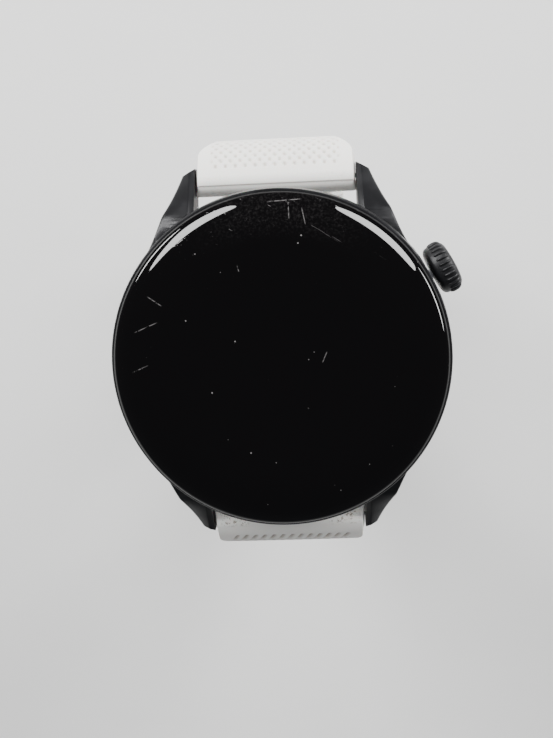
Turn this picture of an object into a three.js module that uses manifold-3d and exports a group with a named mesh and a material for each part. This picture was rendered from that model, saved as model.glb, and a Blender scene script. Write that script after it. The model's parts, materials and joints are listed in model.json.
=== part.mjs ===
// A round smartwatch with its strap unbuckled: steel case with four lugs, domed cover glass, display,
// chassis, board, battery, sensors, a turning and pressing crown, a side button, and a two-piece
// silicone strap on quick-release spring bars. Millimetres. +Z leaves through the glass, +Y points to
// 12 o'clock and +X to 3 o'clock. The origin is the centre of the flat of the back crystal.
import * as THREE from "three";
import { mergeVertices } from "three/addons/utils/BufferGeometryUtils.js";
import Module from "manifold-3d";

const wasm = await Module();
wasm.setup();

// ---- Driving dimensions ----
const ROUND = 36; // segments of the large round pieces
const SMALL_ROUND = 12; // segments of pins, screws and bores
const CASE_ROUND = 48; // segments of the case and the cover glass

const CASE_RADIUS = 23.12;
const BACK_Z = 1.6; // outside face of the rear cover
const RIM_Z = 11.1; // top face of the case, under the glass
const GLASS_TOP = 13.75;
const CAVITY_RADIUS = 20.4;
const CAVITY_FLOOR = 4.1;
const REAR_OPENING = 16.2;
const REAR_SEAT_RADIUS = 20.45;
const REAR_SEAT_Z = 2.9;

const LUG_GAP = 22.2; // between the inner walls of a pair of lugs
const LUG_TIP_Y = 26.2;
const LUG_TIP_HALF = 13.4; // from the centre line to a lug's outer corner
const LUG_TIP_SETBACK = 1.3; // the outer corner lies this far behind the inner tip

const SIDE_AXIS_Z = 6.6; // height of the crown and button axes
const CROWN_ANGLE = THREE.MathUtils.degToRad(27.3);
const CROWN_RADIUS = 3.65;
const CROWN_TEETH = 28;
const CROWN_FACE = 23.45; // inner face of the crown, from the watch's centre
const CROWN_END = 26.6;
const CROWN_RECESS = 22.75; // floor of the recess in the case behind the crown
const BUTTON_ANGLE = THREE.MathUtils.degToRad(28.3);
const BUTTON_LENGTH = 6.9;
const BUTTON_HEIGHT = 3.0;
const BUTTON_FACE = 23.65;

const BAR_Y = 24.4; // spring bar axis
const BAR_Z = 2.6;
const BAR_TIP = 11.9; // end of a spring bar's tip, in the lug hole
const BAR_SHOULDER = 10.1;

const STRAP_WIDTH = 21.8; // at the lugs
const STRAP_NARROW = 19; // at the buckle and along the tail
const STRAP_LUG_THICKNESS = 4.2;
const STRAP_THICKNESS = 2.4;
const TAPER_TOP = -1; // the strap narrows between these two heights
const TAPER_END = -15;
const STRAP_FLOOR = -100; // below the lowest end of a strap half
const STATION_STEP = 4; // length of the flats that make up the bends
const TIP_BLUNT = 3; // how much shorter than a half circle the tail's tip is
const TAIL_HOLES = 7;
const TAIL_HOLE_PITCH = 6.2;

// ---- Solids from three.js geometries ----
function toSolid(geometry) {
  const bare = geometry.clone();
  for (const name of Object.keys(bare.attributes)) if (name !== "position") bare.deleteAttribute(name);
  const merged = mergeVertices(bare, 1e-4);
  return new wasm.Manifold(
    new wasm.Mesh({
      numProp: 3,
      vertProperties: new Float32Array(merged.attributes.position.array),
      triVerts: new Uint32Array(merged.index.array),
    }),
  );
}

function toGeometry(solid) {
  const mesh = solid.getMesh();
  const geometry = new THREE.BufferGeometry();
  geometry.setAttribute("position", new THREE.BufferAttribute(new Float32Array(mesh.vertProperties), 3));
  geometry.setIndex(new THREE.BufferAttribute(new Uint32Array(mesh.triVerts), 1));
  geometry.computeVertexNormals();
  return geometry;
}

const cut = (body, ...tools) =>
  toGeometry(tools.reduce((left, tool) => left.subtract(toSolid(tool)), toSolid(body)));
const join = (body, ...others) =>
  toGeometry(others.reduce((whole, other) => whole.add(toSolid(other)), toSolid(body)));
const common = (a, b) => toGeometry(toSolid(a).intersect(toSolid(b)));

// Turns an (r, z) outline about the Z axis. An outline that leaves the axis out is closed on itself.
function turned(outline, segments = ROUND) {
  const points = outline.map(([r, z]) => new THREE.Vector2(r, z));
  const area = points.reduce((sum, p, i) => {
    const q = points[(i + 1) % points.length];
    return sum + p.x * q.y - q.x * p.y;
  }, 0);
  if (area < 0) points.reverse();
  const before = (i) => points[(i + points.length - 1) % points.length];
  const onAxis = points.findIndex((p, i) => p.x === 0 && before(i).x === 0);
  const ordered = onAxis < 0 ? points : [...points.slice(onAxis), ...points.slice(0, onAxis)];
  if (onAxis < 0) ordered.push(ordered[0].clone());
  return new THREE.LatheGeometry(ordered, segments).rotateX(Math.PI / 2);
}

const ring = (inner, outer, low, high, segments) =>
  turned([[inner, low], [outer, low], [outer, high], [inner, high]], segments);
const disc = (radius, low, high, segments) =>
  turned([[0, low], [radius, low], [radius, high], [0, high]], segments);

// The same, lying along +X from one place to another.
const rod = (radius, from, to, segments = SMALL_ROUND) =>
  disc(radius, from, to, segments).rotateY(Math.PI / 2);
const tube = (inner, outer, from, to, segments = SMALL_ROUND) =>
  ring(inner, outer, from, to, segments).rotateY(Math.PI / 2);

// Stands a flat outline up: its X and Y become Y and Z, and its depth runs along X.
const ALONG_X = new THREE.Matrix4().makeBasis(
  new THREE.Vector3(0, 1, 0), new THREE.Vector3(0, 0, 1), new THREE.Vector3(1, 0, 0));

// A block between two corners.
function block(low, high) {
  const size = high.map((value, axis) => value - low[axis]);
  const middle = high.map((value, axis) => (value + low[axis]) / 2);
  return new THREE.BoxGeometry(...size).translate(...middle);
}

// A flat outline in X and Y given depth along Z.
function plate(shape, low, high, curveSegments = 8) {
  return new THREE.ExtrudeGeometry(shape, { depth: high - low, bevelEnabled: false, curveSegments })
    .translate(0, 0, low);
}

// An outline in Y and Z given width along X, centred.
function profileAlongX(points, width) {
  const shape = new THREE.Shape(points.map(([y, z]) => new THREE.Vector2(y, z)));
  return new THREE.ExtrudeGeometry(shape, { depth: width, bevelEnabled: false })
    .translate(0, 0, -width / 2)
    .applyMatrix4(ALONG_X);
}

// A slot with round ends, length along Y and height along Z, running along X.
function pill(length, height, from, to, curveSegments = 6) {
  const r = height / 2;
  const run = length / 2 - r;
  const shape = new THREE.Shape();
  shape.absarc(run, 0, r, -Math.PI / 2, Math.PI / 2, false);
  shape.absarc(-run, 0, r, Math.PI / 2, Math.PI * 1.5, false);
  return plate(shape, from, to, curveSegments).applyMatrix4(ALONG_X);
}

// ---- Finishes ----
const finish = (color, roughness, metalness) =>
  new THREE.MeshStandardMaterial({ color, roughness, metalness });
const FINISHES = {
  black_steel: finish(0x17181a, 0.35, 0.9),
  cover_glass: finish(0x050506, 0.03, 0.0),
  silicone: finish(0xf1efe8, 0.55, 0.0),
  seal_rubber: finish(0x1a1a1a, 0.8, 0.0),
  dark_plastic: finish(0x1c1d1f, 0.45, 0.0),
  chassis: finish(0x2b2d30, 0.5, 0.2),
  board: finish(0x16402c, 0.5, 0.1),
  shield_metal: finish(0xb9bcc0, 0.3, 1.0),
  polished_steel: finish(0xc9ccd0, 0.2, 1.0),
  battery_foil: finish(0x6f7276, 0.4, 0.7),
  copper: finish(0xb06a3a, 0.35, 1.0),
  flex_film: finish(0xb5722a, 0.5, 0.1),
  ferrite: finish(0x303034, 0.7, 0.1),
  display: finish(0x030304, 0.1, 0.0),
};

const watch = new THREE.Group();
function add(name, geometry, material, parent = watch) {
  const mesh = new THREE.Mesh(geometry, FINISHES[material]);
  mesh.name = name;
  parent.add(mesh);
  return mesh;
}

// ---- Side frames: +X runs out along the crown's or the button's axis ----
const crownFrame = new THREE.Matrix4().makeRotationZ(CROWN_ANGLE).setPosition(0, 0, SIDE_AXIS_Z);
const buttonFrame = new THREE.Matrix4().makeRotationZ(-BUTTON_ANGLE).setPosition(0, 0, SIDE_AXIS_Z);

function sideGroup(frame) {
  const group = new THREE.Group();
  group.applyMatrix4(frame);
  watch.add(group);
  return group;
}

// ---- Case: a turned wall, four lugs, and the bores and slots in them ----
function caseWall() {
  return turned([
    [20.95, BACK_Z], [21.25, 2.6], [21.7, 4.0], [22.3, 5.6], [22.88, 7.4], [CASE_RADIUS, 8.6],
    [CASE_RADIUS, 9.4], [22.97, 10.3], [22.74, RIM_Z], [21.2, RIM_Z], [21.2, 10.5],
    [CAVITY_RADIUS, 10.5], [CAVITY_RADIUS, CAVITY_FLOOR], [REAR_OPENING, CAVITY_FLOOR],
    [REAR_OPENING, REAR_SEAT_Z], [REAR_SEAT_RADIUS, REAR_SEAT_Z], [REAR_SEAT_RADIUS, BACK_Z],
  ], CASE_ROUND);
}

// Both lugs at one end of the case. side is 1 at 12 o'clock and -1 at 6 o'clock.
function lugPair(side) {
  const root = { x: 18.6, y: 13.9 }; // where a lug's edge leaves the round of the case
  const bend = { x: 16.27, y: 17.0 };
  const corner = { x: LUG_TIP_HALF, y: LUG_TIP_Y - LUG_TIP_SETBACK };
  const plan = new THREE.Shape();
  plan.moveTo(root.x, side * root.y);
  plan.quadraticCurveTo(bend.x, side * bend.y, corner.x, side * corner.y);
  plan.lineTo(LUG_GAP / 2, side * LUG_TIP_Y);
  plan.lineTo(-LUG_GAP / 2, side * LUG_TIP_Y);
  plan.lineTo(-corner.x, side * corner.y);
  plan.quadraticCurveTo(-bend.x, side * bend.y, -root.x, side * root.y);
  const profile = [
    [12, 9.6], [17, 9.2], [20.5, 7.6], [23.5, 5.6], [25.4, 4.3], [26.4, 3.5],
    [26.4, 1.3], [25.6, 0.7], [23.8, 0.6], [21.4, 1.3], [17.5, 3.4], [14.5, 6.4], [12, 8.4],
  ].map(([y, z]) => [side * y, z]);
  const pair = common(plate(plan, 0, 10, 5), profileAlongX(profile, 50));
  return cut(
    pair,
    new THREE.BoxGeometry(LUG_GAP, 22, 13).translate(0, side * 19, 5),
    disc(REAR_SEAT_RADIUS + 0.3, -1, 12),
  );
}

// Holes for the spring bar tips, through both inner walls of a pair of lugs.
const barHoles = (side) => rod(0.5, -BAR_TIP - 0.5, BAR_TIP + 0.5).translate(0, side * BAR_Y, BAR_Z);

function caseBody() {
  const crownCuts = [
    rod(1.75, 19, 24),
    rod(CROWN_RADIUS + 0.4, CROWN_RECESS, 26, 32),
  ];
  const buttonCuts = [
    pill(BUTTON_LENGTH + 0.25, BUTTON_HEIGHT + 0.25, 21.7, 25),
    rod(0.95, 19, 23),
  ];
  const speakerSlot = pill(6.4, 1.1, 19, 24).rotateZ(Math.PI).translate(0, 0, SIDE_AXIS_Z);
  const microphoneHole = rod(0.45, 19, 24, 12).translate(0, 0, SIDE_AXIS_Z);
  const screwHoles = screwPlaces().map(([x, y]) => disc(0.7, 2, 5, SMALL_ROUND).translate(x, y, 0));
  return cut(
    join(caseWall(), lugPair(1), lugPair(-1)),
    barHoles(1), barHoles(-1),
    ...crownCuts.map((tool) => tool.applyMatrix4(crownFrame)),
    ...buttonCuts.map((tool) => tool.applyMatrix4(buttonFrame)),
    speakerSlot, microphoneHole, ...screwHoles,
  );
}

// ---- Front: glass, its seal and the display ----
function addFront() {
  const glassEdge = 22.5;
  add("case_body", caseBody(), "black_steel");
  add("cover_glass", turned([
    [0, 12.95], [18.6, 12.95], [20.0, 12.6], [20.9, 11.9], [21.2, 11.4], [glassEdge, 11.4],
    [glassEdge, 11.65], [22.3, 12.05], [21.7, 12.55], [20.7, 13.0], [19.2, 13.38],
    [17, 13.63], [14, GLASS_TOP], [0, GLASS_TOP],
  ], CASE_ROUND), "cover_glass");
  add("glass_seal", ring(21.4, 22.3, RIM_Z + 0.05, 11.35), "seal_rubber");
  add("display_panel", disc(18.5, 12.1, 12.85), "display");
  add("display_flex", profileAlongX([
    [13.5, 12.0], [17.5, 12.0], [17.9, 11.6], [17.9, 10.85], [17.5, 10.45], [13.5, 10.45],
    [13.5, 10.57], [17.45, 10.57], [17.78, 10.9], [17.78, 11.55], [17.45, 11.88], [13.5, 11.88],
  ], 6), "flex_film");
  add("antenna_ring", ring(19.2, 20.2, 9.5, 11.2), "dark_plastic");
}

// ---- Inside: chassis, board, battery, haptic motor and speaker ----
const BATTERY = { x: 11, y: 12.5, low: 4.4, high: 8.6 };

function chassis() {
  const wall = turned([
    [19.2, 4.3], [20.2, 4.3], [20.2, 9.35], [11, 9.35], [11, 8.9], [19.2, 8.9],
  ]);
  const window = block([-12.3, -13.4, 8], [12.3, 13.4, 10]);
  const stemWay = rod(1.35, 17, 21).applyMatrix4(crownFrame);
  const plungerWay = rod(1.1, 17, 21).applyMatrix4(buttonFrame);
  const speakerWay = block([-21, -3.4, 5.9], [-18, 3.4, 7.4]);
  const microphoneWay = rod(0.6, 17, 21, 12).translate(0, 0, SIDE_AXIS_Z);
  return cut(wall, window, stemWay, plungerWay, speakerWay, microphoneWay);
}

function addInside() {
  add("inner_frame", chassis(), "chassis");
  add("battery", block([-BATTERY.x, -BATTERY.y, BATTERY.low], [BATTERY.x, BATTERY.y, BATTERY.high]),
    "battery_foil");
  add("battery_flex", profileAlongX([
    [12.6, 7.6], [13.1, 7.6], [13.1, 9.42], [9.5, 9.42],
    [9.5, 9.3], [12.98, 9.3], [12.98, 7.72], [12.6, 7.72],
  ], 5), "flex_film");
  add("main_board", cut(disc(18.8, 9.5, 10.3), block([-4, 16.2, 9], [4, 20, 11]),
    block([-20, -2.5, 9], [-16.5, 2.5, 11])), "board");
  add("board_shield", block([-9, -8, 10.38], [9, 7, 11.6]), "shield_metal");
  add("haptic_motor", block([-5.5, -17.5, 4.5], [5.5, -13.0, 8.0]), "shield_metal");
  add("speaker_module", block([-17.6, -6, 4.5], [-12.4, 6, 8.6]), "dark_plastic");
  const mesh = pill(6.1, 0.85, 20.9, 21.2).rotateZ(Math.PI).translate(0, 0, SIDE_AXIS_Z);
  add("speaker_mesh", mesh, "shield_metal");
  add("microphone", block([15.4, -1.2, 5.7], [18.7, 1.2, 7.5]), "shield_metal");
}

// ---- Rear: cover, crystal, charging coil and sensors ----
const SCREW_CIRCLE = 17.6;

function screwPlaces() {
  return [45, 135, 225, 315].map((degrees) => {
    const turn = THREE.MathUtils.degToRad(degrees);
    return [SCREW_CIRCLE * Math.cos(turn), SCREW_CIRCLE * Math.sin(turn)];
  });
}

function sensorBaffle() {
  const bars = [0, 60, 120].map((degrees) =>
    block([-7.5, -0.35, 1.0], [7.5, 0.35, 1.8]).rotateZ(THREE.MathUtils.degToRad(degrees)));
  return join(ring(7.2, 8.0, 1.0, 1.8), ring(3.0, 3.7, 1.0, 1.8, 24), ...bars);
}

function addRear() {
  const screwWays = screwPlaces().flatMap(([x, y]) => [
    disc(0.8, 1, 4, SMALL_ROUND).translate(x, y, 0),
    disc(1.25, 1, 2.05, SMALL_ROUND).translate(x, y, 0),
  ]);
  add("rear_cover", cut(turned([
    [13.25, BACK_Z], [19.6, BACK_Z], [20.3, 1.85], [20.3, 2.65], [13.25, 2.65],
  ]), ...screwWays), "dark_plastic");
  add("rear_seal", ring(18.75, 19.6, 2.69, 2.86), "seal_rubber");
  screwPlaces().forEach(([x, y], i) => {
    const screw = turned([[0, 1.65], [1.1, 1.65], [1.1, 2.0], [0.6, 2.05], [0.6, 4.0], [0, 4.0]], 16);
    add(`back_screw_${i + 1}`, cut(screw, disc(0.45, 1, 1.9, 6)).translate(x, y, 0), "polished_steel");
  });
  add("back_crystal", turned([
    [0, 0], [8.5, 0], [11.4, 0.35], [12.6, 0.95], [13.1, 1.7], [13.1, 2.7], [14.5, 2.7], [14.5, 3.1],
    [12.4, 3.1], [12.1, 1.75], [11.0, 1.25], [8.5, 0.9], [0, 0.9],
  ]), "cover_glass");
  add("sensor_baffle", sensorBaffle(), "dark_plastic");
  add("sensor_board", disc(8.2, 1.9, 2.5), "board");
  add("charging_coil", ring(8.7, 11.8, 1.9, 2.5), "copper");
  add("ferrite_sheet", ring(8.7, 11.8, 2.6, 2.95), "ferrite");
  add("sensor_flex", profileAlongX([
    [3, 2.58], [5, 2.58], [5.6, 3.15], [11.75, 3.15], [11.75, 9.42], [11.63, 9.42], [11.63, 3.27],
    [5.55, 3.27], [4.95, 2.7], [3, 2.7],
  ], 3.5).rotateZ(Math.PI / 2), "flex_film");
}

// ---- Crown: a toothed head on a stem that turns and slides in a tube ----
function crownHead() {
  const tooth = 0.2;
  const chamfer = 0.5;
  const outline = new THREE.Shape(Array.from({ length: CROWN_TEETH * 2 }, (_, i) => {
    const turn = (i / CROWN_TEETH) * Math.PI;
    const radius = CROWN_RADIUS - (i % 2) * tooth;
    return new THREE.Vector2(radius * Math.cos(turn), radius * Math.sin(turn));
  }));
  const envelope = turned([
    [0, CROWN_FACE], [CROWN_RADIUS - chamfer, CROWN_FACE], [CROWN_RADIUS + 0.05, CROWN_FACE + chamfer],
    [CROWN_RADIUS + 0.05, CROWN_END - chamfer], [CROWN_RADIUS - chamfer, CROWN_END], [0, CROWN_END],
  ], CROWN_TEETH);
  const head = common(plate(outline, CROWN_FACE - 1, CROWN_END + 1), envelope).rotateY(Math.PI / 2);
  return cut(head, rod(0.9, CROWN_FACE - 1, CROWN_FACE + 1.9));
}

function addCrown() {
  const crown = sideGroup(crownFrame);
  add("crown_head", crownHead(), "black_steel", crown);
  add("crown_stem", rod(0.8, 17.2, CROWN_FACE + 1.8), "polished_steel", crown);
  add("crown_tube", tube(1.05, 1.65, 20.6, 22.9), "black_steel", crown);
  add("crown_seal", tube(0.83, 1.01, 21.4, 22.0), "seal_rubber", crown);
  add("encoder_wheel", tube(0.85, 1.9, 18.3, 18.9, 24), "shield_metal", crown);
  add("crown_plunger", rod(1.0, 16.5, 17.1), "polished_steel", crown);
  add("crown_switch", block([14.4, -1.6, -1.4], [15.9, 1.6, 1.4]), "dark_plastic", crown);
}

// ---- Side button: a pill that slides in a slot, with a plunger behind it ----
function addButton() {
  const button = sideGroup(buttonFrame);
  const cap = common(pill(BUTTON_LENGTH, BUTTON_HEIGHT, 22.25, 25), disc(BUTTON_FACE, -3, 3, 72));
  add("side_button", join(cap, rod(0.7, 18.65, 22.6)), "black_steel", button);
  add("button_seal", tube(0.73, 0.89, 20.8, 21.3), "seal_rubber", button);
  add("side_switch", block([16.6, -2, -1.4], [18.1, 2, 1.4]), "dark_plastic", button);
}

// ---- Strap: each half follows a path in the plane of u (away from the case) and z ----
// A path is a chain of straight runs and clockwise arcs. It gives the place and heading at any length.
function strapPath(leaving, legs) {
  const spans = [];
  let u = BAR_Y;
  let z = BAR_Z;
  let heading = THREE.MathUtils.degToRad(leaving);
  let start = 0;
  for (const { length, radius } of legs) {
    spans.push({ start, length, radius, u, z, heading });
    if (radius) {
      const turn = length / radius;
      u += radius * (Math.sin(heading) - Math.sin(heading - turn));
      z -= radius * (Math.cos(heading) - Math.cos(heading - turn));
      heading -= turn;
    } else {
      u += length * Math.cos(heading);
      z += length * Math.sin(heading);
    }
    start += length;
  }
  const at = (s) => {
    const span = spans.findLast((each) => each.start <= s) ?? spans[0];
    const run = s - span.start;
    const turn = span.radius ? run / span.radius : 0;
    const end = span.heading - turn;
    const moved = span.radius
      ? [span.radius * (Math.sin(span.heading) - Math.sin(end)),
        -span.radius * (Math.cos(span.heading) - Math.cos(end))]
      : [run * Math.cos(end), run * Math.sin(end)];
    return { u: span.u + moved[0], z: span.z + moved[1], heading: end };
  };
  return { at, total: start };
}

const arcThrough = (radius, degrees) => ({ radius, length: radius * THREE.MathUtils.degToRad(degrees) });

// A strap half: its side outline given width, with the long edges bevelled, then tapered toward its end.
// The taper is an outline in X and Z, because each half drops steadily while it narrows.
function strapBody(path, side, stations) {
  const bevel = 0.55;
  const edge = (face) => stations.map(({ s, thickness }) => {
    const { u, z, heading } = path.at(s);
    const offset = (face * thickness) / 2;
    return new THREE.Vector2(side * (u - offset * Math.sin(heading)), z + offset * Math.cos(heading));
  });
  const outline = new THREE.Shape([...edge(1), ...edge(-1).reverse()]);
  const blank = new THREE.ExtrudeGeometry(outline, {
    depth: STRAP_WIDTH - 2 * bevel,
    bevelThickness: bevel,
    bevelSize: bevel,
    bevelOffset: -bevel,
    bevelSegments: 1,
  }).translate(0, 0, bevel - STRAP_WIDTH / 2).applyMatrix4(ALONG_X);
  const wide = STRAP_WIDTH / 2 + 0.1;
  const narrow = STRAP_NARROW / 2;
  const taper = plate(new THREE.Shape([
    [-wide, 10], [-wide, TAPER_TOP], [-narrow, TAPER_END], [-narrow, STRAP_FLOOR],
    [narrow, STRAP_FLOOR], [narrow, TAPER_END], [wide, TAPER_TOP], [wide, 10],
  ].map(([x, z]) => new THREE.Vector2(x, z))), -60, 60).rotateX(Math.PI / 2);
  return common(blank, taper);
}

// Places a tool made along +X, +Y and +Z so that they become across, along and away from the wrist at s.
function onStrap(geometry, path, side, s) {
  const { u, z, heading } = path.at(s);
  const along = new THREE.Vector3(0, side * Math.cos(heading), Math.sin(heading));
  const out = new THREE.Vector3(0, -side * Math.sin(heading), Math.cos(heading));
  const across = new THREE.Vector3().crossVectors(along, out);
  return geometry.applyMatrix4(
    new THREE.Matrix4().makeBasis(across, along, out).setPosition(0, side * u, z));
}

const { lerp, smoothstep } = THREE.MathUtils;
const thicknessAt = (s) => lerp(STRAP_LUG_THICKNESS, STRAP_THICKNESS, smoothstep(s, 1, 22));

// Sections from the round end at the lugs, then even steps to the far end, thinned over the last bit.
function strapStations(length, step) {
  const round = [0.97, 0.75, 0.4, 0].map((share) => ({
    s: (-share * STRAP_LUG_THICKNESS) / 2,
    thickness: STRAP_LUG_THICKNESS * Math.sqrt(1 - share * share),
  }));
  const thinned = 0.6;
  const count = Math.round((length - thinned) / step);
  const even = Array.from({ length: count }, (_, i) => {
    const s = ((i + 1) * (length - thinned)) / count;
    return { s, thickness: thicknessAt(s) };
  });
  return [...round, ...even, { s: length, thickness: STRAP_THICKNESS - thinned }];
}

const LUG_ARC = 5.6; // path radius where a strap turns down behind the lugs
const bucklePath = strapPath(-22, [
  { length: 0.4 }, arcThrough(LUG_ARC, 64), { length: 24 }, arcThrough(40, 26), { length: 22.5 },
]);
const BUCKLE_S = bucklePath.total - 2; // the buckle bar's place along its half
const tailPath = strapPath(-29, [
  { length: 0.4 }, arcThrough(LUG_ARC, 51), { length: 28.5 }, arcThrough(45, 60), { length: 24.5 },
]);

// The sleeve's bore, and the window in the underside where the release knob slides.
const KNOB_X = -6.4;
const KNOB_TRAVEL = 1.1;
function lugEndCuts(path, side) {
  return [
    rod(0.95, -12, 12).translate(0, side * BAR_Y, BAR_Z),
    onStrap(block([KNOB_X * side - 2, -0.9, -3], [KNOB_X * side + 2, 0.9, 0]), path, side, 0),
  ];
}

function buckleHalf() {
  const half = STRAP_THICKNESS / 2;
  const body = strapBody(bucklePath, 1, strapStations(bucklePath.total, STATION_STEP));
  return cut(
    body, ...lugEndCuts(bucklePath, 1),
    onStrap(rod(0.8, -12, 12), bucklePath, 1, BUCKLE_S),
    onStrap(block([-1.5, -2.6, -half - 1], [1.5, 4, half + 1]), bucklePath, 1, BUCKLE_S),
  );
}

// What is cut from a square end to leave the tail's tip: the corners outside half an ellipse.
function tipCorners() {
  const half = STRAP_NARROW / 2;
  const depth = half - TIP_BLUNT;
  const tip = new THREE.Shape();
  tip.absellipse(0, -depth, half, depth, 0, Math.PI * 2, false);
  return cut(block([-half - 1, -depth, -3], [half + 1, 1, 3]), plate(tip, -4, 4, 12));
}

function tailHalf() {
  const blank = strapBody(tailPath, -1, strapStations(tailPath.total, STATION_STEP));
  const holes = Array.from({ length: TAIL_HOLES }, (_, i) => {
    const slot = pill(3.2, 1.9, -3, 3, 4).rotateY(-Math.PI / 2);
    return onStrap(slot, tailPath, -1, tailPath.total - 21 - i * TAIL_HOLE_PITCH);
  });
  const corners = onStrap(tipCorners(), tailPath, -1, tailPath.total);
  return cut(blank, corners, ...lugEndCuts(tailPath, -1), ...holes);
}

// A keeper: a loop around the strap with room for the tail on the outside.
function keeper(path, s, length) {
  const wall = 1.1;
  const inner = STRAP_NARROW / 2 + 0.3;
  const low = -STRAP_THICKNESS / 2 - 0.2;
  const high = STRAP_THICKNESS * 1.5 + 0.5;
  const loop = cut(
    block([-inner - wall, 0, low - wall], [inner + wall, length, high + wall]),
    block([-inner, -1, low], [inner, length + 1, high]),
  );
  return onStrap(loop, path, 1, s);
}

// ---- Buckle: a frame and a tongue that swing on a bar through the end of the strap ----
const BUCKLE = { inner: STRAP_NARROW / 2 + 0.4, wall: 1.7, reach: 11.4, thickness: 2.2, bar: 0.7 };

function buckleFrame() {
  const { inner, wall, reach, thickness, bar } = BUCKLE;
  const frame = cut(
    block([-inner - wall, -1.7, -thickness / 2], [inner + wall, reach, thickness / 2]),
    block([-inner, -3, -3], [inner, reach - 2.1, 3]),
    rod(bar + 0.08, -15, 15),
    block([-1.15, reach - 3, thickness / 2 - 0.55], [1.15, reach + 1, 3]),
  );
  return onStrap(frame, bucklePath, 1, BUCKLE_S);
}

function buckleTongue() {
  const { bar, reach, thickness } = BUCKLE;
  const eye = tube(bar + 0.08, bar + 0.85, -1.0, 1.0);
  const rest = thickness / 2 - 0.5;
  const arm = new THREE.Shape([
    [0, bar + 0.12], [2.2, rest], [reach, rest], [reach + 0.5, rest + 0.35], [reach, rest + 0.9],
    [2.2, rest + 1.0], [0, bar + 0.8],
  ].map(([along, out]) => new THREE.Vector2(along, out)));
  const blade = new THREE.ExtrudeGeometry(arm, { depth: 2, bevelEnabled: false })
    .translate(0, 0, -1)
    .applyMatrix4(ALONG_X);
  return onStrap(join(eye, blade), bucklePath, 1, BUCKLE_S);
}

// ---- Spring bars: a sleeve, a fixed tip, and a sliding tip with a knob, pushed apart by a spring ----
function coil(radius, wire, from, to, turns) {
  class Helix extends THREE.Curve {
    getPoint(t, target = new THREE.Vector3()) {
      const turn = t * turns * Math.PI * 2;
      return target.set(from + (to - from) * t, radius * Math.cos(turn), radius * Math.sin(turn));
    }
  }
  const section = new THREE.Shape();
  section.absarc(0, 0, wire, 0, Math.PI * 2, false);
  return new THREE.ExtrudeGeometry(section, {
    steps: turns * 8, extrudePath: new Helix(), bevelEnabled: false, curveSegments: 3,
  });
}

function addSpringBar(end, path, side) {
  const window = block([KNOB_X - 1.6, -0.6, -2], [KNOB_X + 1.9, 0.6, 0]);
  const sleeve = cut(tube(0.56, 0.85, -9.4, 9.4), window);
  const place = (geometry) => {
    if (side < 0) geometry.rotateZ(Math.PI);
    return onStrap(geometry, path, side, 0);
  };
  add(`${end}_bar_sleeve`, place(sleeve), "polished_steel");
  const fixedTip = join(rod(0.48, 2.6, BAR_SHOULDER), rod(0.38, 3, BAR_TIP));
  add(`${end}_bar_fixed_tip`, place(fixedTip), "polished_steel");
  const slider = join(
    rod(0.48, -BAR_SHOULDER, -1.8),
    rod(0.38, -BAR_TIP, -2.5),
    rod(0.42, 0, 2.9, 12).rotateY(Math.PI / 2).translate(KNOB_X, 0, 0),
  );
  add(`${end}_release_pin`, place(slider), "polished_steel");
  add(`${end}_bar_spring`, place(coil(0.36, 0.09, KNOB_TRAVEL - 1.6, 2.4, 4)), "polished_steel");
}

function addStrap() {
  add("buckle_strap", buckleHalf(), "silicone");
  add("tail_strap", tailHalf(), "silicone");
  addSpringBar("upper", bucklePath, 1);
  addSpringBar("lower", tailPath, -1);
  add("fixed_keeper", keeper(bucklePath, BUCKLE_S - 9, 4.5), "silicone");
  add("free_keeper", keeper(bucklePath, BUCKLE_S - 14, 4.5), "silicone");
  const barEnd = BUCKLE.inner + 1.5;
  add("buckle_bar", onStrap(rod(BUCKLE.bar, -barEnd, barEnd), bucklePath, 1, BUCKLE_S), "polished_steel");
  add("buckle_frame", buckleFrame(), "polished_steel");
  add("buckle_tongue", buckleTongue(), "polished_steel");
}

addFront();
addInside();
addRear();
addCrown();
addButton();
addStrap();

export default watch;
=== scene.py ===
"""A round smartwatch with a domed glass, a knurled crown and a textured two-piece silicone strap."""

import json
from math import cos, pi, radians, sin, sqrt

import bmesh
import bpy
from bpy.props import FloatProperty, FloatVectorProperty, IntProperty, PointerProperty
from mathutils import Matrix, Vector


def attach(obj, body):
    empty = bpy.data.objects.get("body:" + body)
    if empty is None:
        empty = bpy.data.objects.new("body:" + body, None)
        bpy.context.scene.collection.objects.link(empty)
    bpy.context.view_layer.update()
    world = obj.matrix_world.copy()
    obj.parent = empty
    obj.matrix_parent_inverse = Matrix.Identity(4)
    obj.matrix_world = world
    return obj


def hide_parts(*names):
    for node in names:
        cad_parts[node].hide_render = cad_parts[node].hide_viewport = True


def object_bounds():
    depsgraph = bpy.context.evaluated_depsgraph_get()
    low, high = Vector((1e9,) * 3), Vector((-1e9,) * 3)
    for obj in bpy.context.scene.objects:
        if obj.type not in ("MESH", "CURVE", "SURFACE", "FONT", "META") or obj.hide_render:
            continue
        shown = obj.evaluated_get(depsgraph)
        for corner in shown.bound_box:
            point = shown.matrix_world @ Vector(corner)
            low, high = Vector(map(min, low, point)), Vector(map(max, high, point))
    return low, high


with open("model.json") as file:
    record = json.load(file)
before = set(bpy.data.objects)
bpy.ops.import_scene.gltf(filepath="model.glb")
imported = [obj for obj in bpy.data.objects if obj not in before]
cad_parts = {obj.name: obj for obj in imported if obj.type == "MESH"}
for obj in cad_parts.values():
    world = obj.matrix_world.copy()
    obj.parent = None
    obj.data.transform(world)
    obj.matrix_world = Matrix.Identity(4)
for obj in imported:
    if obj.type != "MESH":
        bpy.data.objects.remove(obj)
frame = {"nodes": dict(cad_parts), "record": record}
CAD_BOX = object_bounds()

bl_info = {
    "name": "Round Smartwatch",
    "version": (1, 0, 0),
    "blender": (4, 5, 0),
    "location": "3D View > Sidebar > Watch",
    "description": "Builds a round smartwatch with a turning crown and a silicone strap",
    "category": "Add Mesh",
}

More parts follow.
